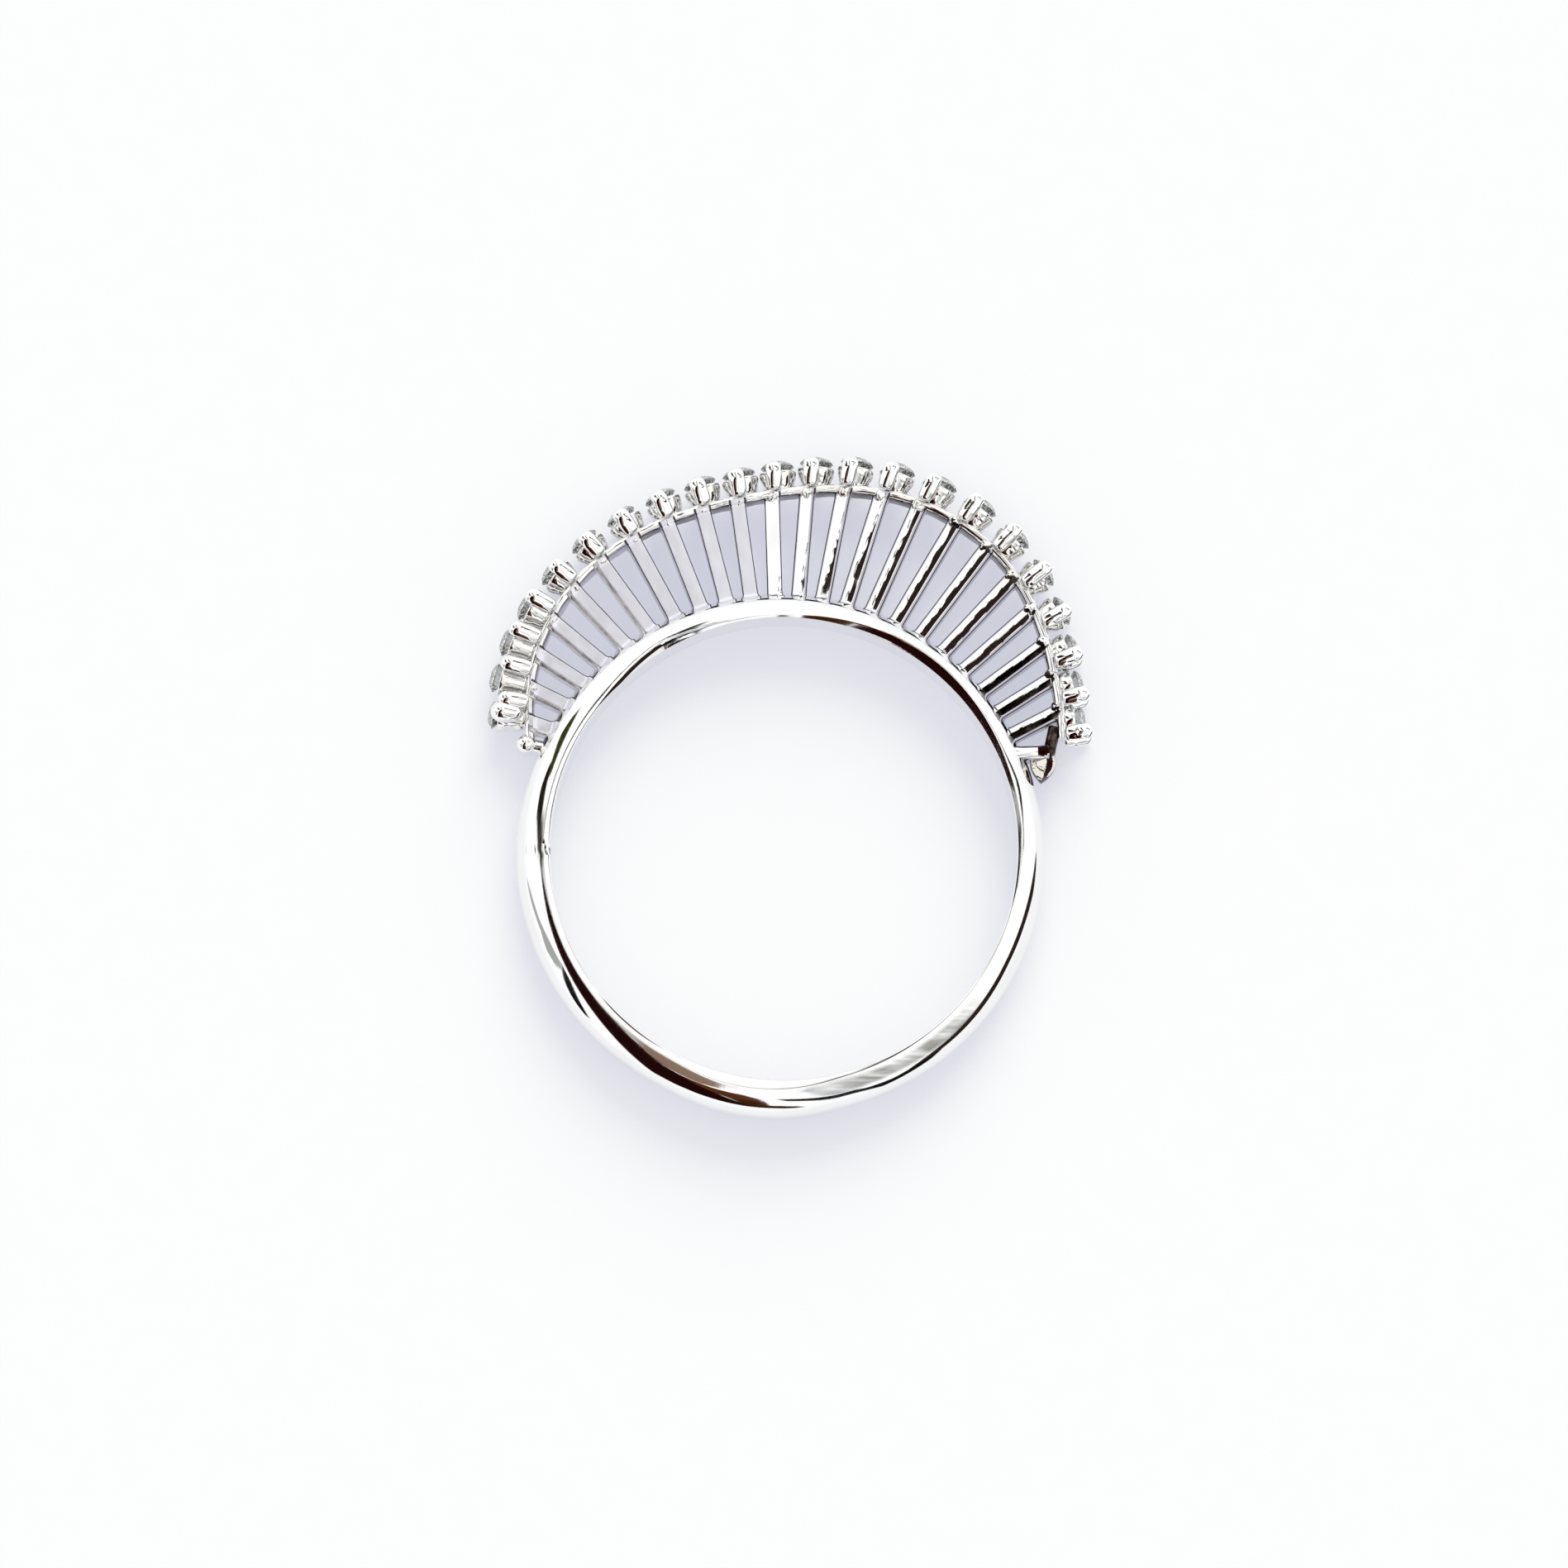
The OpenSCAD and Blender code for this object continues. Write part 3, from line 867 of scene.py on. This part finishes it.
def make_end_claw(side):
    """The stouter second claw of the first stone."""
    root, root_r, ball, ball_r = 0.35, 0.2, 1.17, 0.42
    out, lead = 0.55, -0.08
    claw = ring("end_claw_front" if side < 0 else "end_claw_rear", 24, root_r, (0, 0, root))
    shaft = [(0.5, 0.27, 0), (0.7, 0.33, 0), (0.9, 0.385, 0), (1.05, 0.41, 0)]
    cap = [(ball + ball_r * sind(a), ball_r * cosd(a), 0) for a in CAP_RINGS]
    draw_up((root, root_r, 0), shaft + cap)
    close_round(claw, lambda c: c.z > ball + ball_r * sind(CAP_RINGS[-1]) - NEAR)
    close_round(claw, lambda c: c.z < root + NEAR)
    closed(claw)
    modifier(claw, "SUBSURF", levels=1, render_levels=1)
    claw.data.transform(on_rail(0) @ Matrix.Translation((side * out, lead, 0)))
    return claw


# The two ends of the head
# Left: the middle of the bead, and where its root stands in the band
BEAD_AT, BEAD_ROOT = Vector((-9.44, 3.9, 0)), Vector((-8.5, 3.7, 0))
# Right: the rail's last stretch, the corner where it is closed down and the foot of the bar that closes it
RAIL_BENDS, RAIL_ENDS = Vector((9.93, 4.55, 0)), Vector((9.68, 3.5, 0))
CORNER_AT = Vector((9.7, 3.55, 0))
CLOSING_FOOT = 9.0 * Vector((cosd(23), sind(23), 0))
# The leaf below that corner, and how far it is turned (degrees)
LEAF_AT, LEAF_TURN = Vector((9.48, 3.12, 0)), -6


def rod(name, start, end, thick, wide, flare=0.04):
    """A short round-sided bar between two points in the plane of the ring."""
    run = end - start
    length, radius = run.length, thick / 2
    piece = ring(name, 24, radius + flare)
    steps = ((0.15, flare / 2), (0.3, 0), (0.7, 0), (0.85, flare / 2), (1, flare))
    draw_up((0, radius + flare, 0), [(length * share, radius + more, 0) for share, more in steps])
    for side in (-1, 1):
        pick(piece, lambda c: c.x * side > NEAR)
        bpy.ops.transform.translate(value=(side * (wide - thick) / 2, 0, 0))
    for z in (0, length):
        pick(piece, lambda c: abs(c.z - z) < NEAR)
        bpy.ops.mesh.edge_face_add()
    closed(piece)
    modifier(piece, "BEVEL", width=0.08, segments=3, limit_method="ANGLE", angle_limit=math.radians(50))
    piece.data.transform(Matrix.Translation(start) @ Matrix.Rotation(bearing(run), 4, "Z")
                         @ Matrix.Rotation(math.radians(90), 4, "Y"))
    hand_filed(piece, 0.03, 0.3)
    return piece


def make_end_bead():
    """The bead that closes the left end: a ball drawn out across the band."""
    out = 0.3
    bead = sphere("end_bead", 32, 20, 0.36, BEAD_AT)
    for side in (-1, 1):
        pick(bead, lambda c: c.z * side > NEAR)
        bpy.ops.transform.translate(value=(0, 0, side * out))
    bpy.ops.mesh.select_all(action="SELECT")
    bpy.ops.mesh.bisect(plane_co=(0, 0, 0.15), plane_no=(0, 0, 1))
    closed(bead)
    hand_filed(bead, 0.02, 0.4)
    return bead


def finish_closing_bar(bar):
    """Painted shade: a dark oval near the bar's outer end, and darker, duller edges."""
    oval_at, long, high = Vector((9.5, 3.58, 0)), 0.27, 0.16
    bar.data.materials.append(painted_shade_dark_red)
    bar.data.materials.append(bar_side)
    for face in bar.data.polygons:
        off = face.center / MM - oval_at
        if (off.x / long) ** 2 + (off.y / high) ** 2 < 1:
            face.material_index = 1
        elif abs(face.normal.z) < 0.6:
            face.material_index = 2


def make_leaf():
    """The pointed leaf under the right end: two curved sides that fall away from a keel, front and back."""
    # its two ends, half its width, how far up it is broadest, where the keel runs and where its side begins
    top_y, tip_y, wide, broadest = 0.42, -0.64, 0.47, 0.7
    keel, brim = 0.22, 60
    leaf = sphere("leaf", 64, 40, 1)
    switch_to("OBJECT")

    def half_width(y):
        along = min(max((y - tip_y) / (top_y - tip_y), 0), 1)
        if along < broadest:
            return wide * sind(90 * along / broadest) ** 0.9
        return wide * (1 - 0.25 * ((along - broadest) / (1 - broadest)) ** 2)

    def leaf_rule(c):
        tip = math.degrees(math.atan2(math.hypot(c.x, c.y), abs(c.z)))
        a = math.atan2(c.y, c.x)
        flat = min(sind(tip) / sind(brim), 1)
        y = (top_y + tip_y) / 2 + (top_y - tip_y) / 2 * flat * math.sin(a)
        half = half_width(y)
        across = flat * math.cos(a) / max(math.sqrt(max(1 - (flat * math.sin(a)) ** 2, 0)), 0.02)
        across = min(max(across, -1), 1)
        body = math.sqrt(max(half / wide, 0))
        fallen = (across - keel) / (1 - keel) if across > keel else (keel - across) / (1 + keel)
        top = 0.1 + 0.18 * body + 0.38 * body * (1 - fallen)
        fall = min(max(90 - tip, 0) / (90 - brim), 1) ** 0.5
        return Vector((across * half, y, math.copysign(top * fall, c.z) if abs(c.z) > NEAR else 0))

    reshape(leaf, leaf_rule)
    # Painted dark reflection on the leaf's steep sides, and a painted dark stripe to the right of its keel
    for more in (leaf_polish_painted_beige, bar_edge, painted_shade_dark_red):
        leaf.data.materials.append(more)
    for face in leaf.data.polygons:
        x, y = face.center.xy
        across = x / half_width(y)
        if abs(face.normal.z) < 0.45:
            face.material_index = 1
        elif keel < across < 0.72:
            face.material_index = 2
    leaf.data.transform(Matrix.Translation(LEAF_AT) @ Matrix.Rotation(math.radians(LEAF_TURN), 4, "Z"))
    hand_filed(leaf, 0.015, 0.4)
    return leaf


# Building the ring
to_bench(make_shank(), band_polish)
finish_rail(to_bench(make_rail(), rail_polish, 60))
bar_model, cup_model, claw_model = make_bar_model(), make_cup_model(), make_claw_model()
for i in range(SETTINGS):
    finish_bar(to_bench(make_bar(bar_model, i), bar_satin if i < SATIN_BARS else bar_polish, 30), i)
    knot = to_bench(make_knot(i), cup_polish)
    if i >= PAINTED_DARK_KNOTS:
        finish_knot(knot, i)
    to_bench(make_cup(cup_model, i), cup_polish)
    for side in (-1, 1):
        to_bench(make_claw(claw_model, i, side), claw_polish)
for model in (bar_model, cup_model, claw_model):
    bpy.data.objects.remove(model)
for side in (-1, 1):
    to_bench(make_end_claw(side), claw_polish)
to_bench(make_end_bead(), claw_polish)
to_bench(rod("bead_root", BEAD_ROOT, BEAD_AT, 0.46, 0.9, 0.02), claw_polish, 50)
# Painted shade: the rail's end is black all over
to_bench(rod("rail_end", RAIL_BENDS, RAIL_ENDS, 0.46, 1.0, 0.01), painted_black_shade, 50)
finish_closing_bar(to_bench(rod("closing_bar", CLOSING_FOOT, CORNER_AT, 0.5, 1.46), bar_polish, 50))
to_bench(make_leaf(), leaf_polish_painted_beige, 35)

diamond = make_diamond()
for name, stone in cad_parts.items():
    if name.startswith("stone_"):
        for slot in stone.material_slots:
            slot.material = diamond


# Paper, light and what the metal mirrors
def make_paper():
    """The sheet that the ring lies on, just clear of it."""
    put_down()
    wide, clear = 1000, 0.005
    bpy.ops.mesh.primitive_plane_add(size=wide, location=(0, 0, -BAND_W / 2 - clear))
    paper = started("paper")
    switch_to("OBJECT")
    paper.data.transform(Matrix.Scale(MM, 4))
    material, tree, shader = new_material("paper")
    shader.inputs["Specular IOR Level"].default_value = 0.0
    shader.inputs["Roughness"].default_value = 1.0
    place = node(tree, "ShaderNodeTexCoord")
    fibre = node(tree, "ShaderNodeTexNoise", "fibre", Scale=900.0, Detail=5.0)
    colour = node(tree, "ShaderNodeMix", data_type="RGBA",
                  A=(0.276, 0.275, 0.221, 1), B=(0.286, 0.284, 0.228, 1))
    shader.inputs["Emission Color"].default_value = (0.5, 0.508, 0.613, 1)
    shader.inputs["Emission Strength"].default_value = 1.0
    wire(tree, (place.outputs["Object"], fibre.inputs["Vector"]),
         (fibre.outputs["Fac"], colour.inputs["Factor"]),
         (colour.outputs["Result"], shader.inputs["Base Color"]))
    paper.data.materials.append(material)


def make_card(name, colour, corners, reach):
    """A card hung around the ring for the metal to mirror, given by zenith and azimuth in degrees."""
    mesh = bpy.data.meshes.new(name)
    points = [(reach * sind(z) * cosd(a) * MM, reach * sind(z) * sind(a) * MM, reach * cosd(z) * MM)
              for z, a in corners]
    mesh.from_pydata(points, [], [list(range(len(points)))])
    card = bpy.data.objects.new(name, mesh)
    bpy.context.collection.objects.link(card)
    material, tree, shader = new_material(name)
    tree.nodes.remove(shader)
    glow = node(tree, "ShaderNodeEmission", Color=(*colour, 1))
    wire(tree, (glow.outputs[0], tree.nodes["Material Output"].inputs["Surface"]))
    mesh.materials.append(material)
    card.visible_camera = card.visible_diffuse = False


# The plan of the light over the ring: its middle is straight up, and so many steps are a degree
PLAN_MID, PLAN_STEP = 600, 4.615


def plot(points):
    """Zenith and azimuth of points on the plan of the light."""
    return [(math.hypot(x - PLAN_MID, PLAN_MID - y) / PLAN_STEP,
             math.degrees(math.atan2(PLAN_MID - y, x - PLAN_MID))) for x, y in points]


# What stands dark around the ring: name, colour and outline on the plan, each nearer than the one before
CARDS = (
    ("card_dark_red", (0.013, 0.002, 0.002), (
        (592, 565), (540, 567), (505, 590), (482, 615), (458, 655), (440, 695), (425, 735), (405, 795),
        (393, 855), (386, 918), (430, 910), (480, 916), (520, 926), (560, 935), (545, 870), (530, 800),
        (515, 760), (511, 722), (530, 670), (555, 620))),
    ("card_brown", (0.09, 0.027, 0.007), (
        (511, 722), (540, 716), (574, 715), (583, 760), (588, 815), (536, 815), (515, 760))),
    ("card_umber", (0.045, 0.014, 0.004), (
        (588, 815), (592, 885), (612, 892), (640, 920), (662, 958), (630, 955), (598, 940), (560, 935),
        (536, 815))),
    ("card_beige", (0.26, 0.17, 0.12), (
        (595, 566), (570, 600), (545, 640), (528, 675), (513, 716), (538, 714), (562, 690), (575, 650),
        (587, 610))),
    ("card_streak", (0.004, 0.004, 0.005), (
        (435, 645), (420, 655), (380, 680), (340, 710), (310, 740), (292, 770), (290, 790), (300, 805),
        (325, 795), (345, 765), (365, 735), (390, 705), (425, 670))),
    ("card_grey_left", (0.4, 0.41, 0.4), (
        (225, 585), (290, 608), (340, 632), (400, 640), (425, 650), (380, 678), (320, 700), (275, 690),
        (300, 655), (250, 620))),
    ("card_olive", (0.035, 0.036, 0.008), (
        (388, 442), (410, 434), (440, 443), (465, 475), (488, 505), (506, 530), (470, 520), (430, 490),
        (405, 465))),
    ("card_shade", (0.012, 0.009, 0.006), (
        (395, 505), (420, 490), (445, 500), (480, 525), (520, 550), (590, 562), (540, 567), (490, 560),
        (450, 545), (420, 535))),
    ("card_v", (0.01, 0.01, 0.008), (
        (545, 440), (562, 440), (574, 498), (588, 533), (604, 562), (588, 562), (562, 520), (549, 480))),
    ("card_top_brown", (0.06, 0.016, 0.006), (
        (645, 497), (650, 470), (670, 460), (690, 455), (695, 475), (680, 490), (665, 505))),
    ("card_top_line", (0.005, 0.005, 0.003), (
        (690, 500), (680, 485), (720, 480), (760, 485), (790, 485), (820, 492), (810, 510), (780, 530),
        (750, 548), (710, 560), (670, 562), (710, 550), (745, 535), (770, 515), (780, 503), (750, 505),
        (710, 510))),
    ("card_grey_line", (0.5, 0.52, 0.56), (
        (603, 575), (625, 650), (650, 730), (680, 790), (700, 820), (680, 830), (655, 790), (635, 730),
        (612, 650))),
    ("card_grey_right", (0.5, 0.52, 0.49), (
        (665, 690), (700, 715), (760, 745), (830, 755), (850, 790), (800, 800), (770, 790), (730, 800),
        (702, 815), (682, 770))),
    ("card_foot", (0.004, 0.004, 0.004), (
        (600, 750), (620, 768), (650, 805), (690, 848), (720, 885), (770, 898), (800, 870), (840, 865),
        (870, 880), (870, 915), (850, 950), (820, 985), (790, 975), (750, 945), (710, 915), (670, 870),
        (640, 830), (612, 795))),
    ("card_side", (0.022, 0.013, 0.01), (
        (1014, 540), (980, 560), (940, 596), (910, 622), (880, 652), (862, 690), (856, 735), (844, 772),
        (826, 802), (800, 836), (788, 872), (840, 885), (882, 868), (912, 842), (932, 812), (938, 780),
        (942, 720), (972, 660), (1014, 612))),
    ("card_side_core", (0.006, 0.005, 0.004), (
        (870, 690), (900, 668), (922, 690), (925, 760), (905, 800), (880, 835), (850, 862), (812, 868),
        (822, 836), (846, 802), (862, 765))),
)
CARDS_OUT, CARD_STEP = 500.0, 2
make_paper()
for layer, (name, colour, points) in enumerate(CARDS):
    make_card(name, colour, plot(points), CARDS_OUT - CARD_STEP * layer)

# Daylight from beyond the row of stones, low and wide: it draws the soft shadow on the paper
daylight = bpy.data.objects.new("daylight", bpy.data.lights.new("daylight", "SUN"))
bpy.context.collection.objects.link(daylight)
daylight.data.energy = 3.8
daylight.data.angle = math.radians(42)
daylight.data.color = (1.0, 0.985, 0.95)
daylight.visible_glossy = daylight.visible_transmission = False
daylight.rotation_euler = (math.radians(-60), 0, math.radians(-12))

world = bpy.data.worlds.new("studio")
bpy.context.scene.world = world
world.use_nodes = True
tree = world.node_tree
sky = tree.nodes["Background"]
place = node(tree, "ShaderNodeTexCoord")
split = node(tree, "ShaderNodeSeparateXYZ")
rise = node(tree, "ShaderNodeMapRange", From_Min=0.0, From_Max=0.5)
tone = node(tree, "ShaderNodeMix", data_type="RGBA", A=(1.02, 1.03, 1.06, 1), B=(1.12, 1.12, 1.11, 1))
wire(tree, (place.outputs["Generated"], split.inputs[0]), (split.outputs["Z"], rise.inputs["Value"]),
     (rise.outputs["Result"], tone.inputs["Factor"]), (tone.outputs["Result"], sky.inputs["Color"]))

# Camera, nine degrees off straight down.
# The photo is PHOTO pixels wide, SCALE of them to a millimetre, with the middle of the hole at row HOLE_ROW.
TILT, DISTANCE, SCALE, SENSOR = 9.0, 200.0, 33.1, 36
PHOTO, HOLE_ROW = 1897, 1029
right = Vector((1, 0, 0))
up = Vector((0, cosd(TILT), sind(TILT)))
look = Vector((0, sind(TILT), -cosd(TILT)))
lens = bpy.data.cameras.new("camera")
lens.sensor_width = SENSOR
lens.lens = SCALE * DISTANCE / PHOTO * SENSOR
lens.clip_start, lens.clip_end = 0.001, 10
camera = bpy.data.objects.new("camera", lens)
bpy.context.collection.objects.link(camera)
eye = (up * (HOLE_ROW - PHOTO / 2) / SCALE - look * DISTANCE) * MM
camera.matrix_world = Matrix.Translation(eye) @ Matrix((right, up, -look)).transposed().to_4x4()
bpy.context.scene.camera = camera
bpy.context.scene.view_settings.view_transform = "Standard"
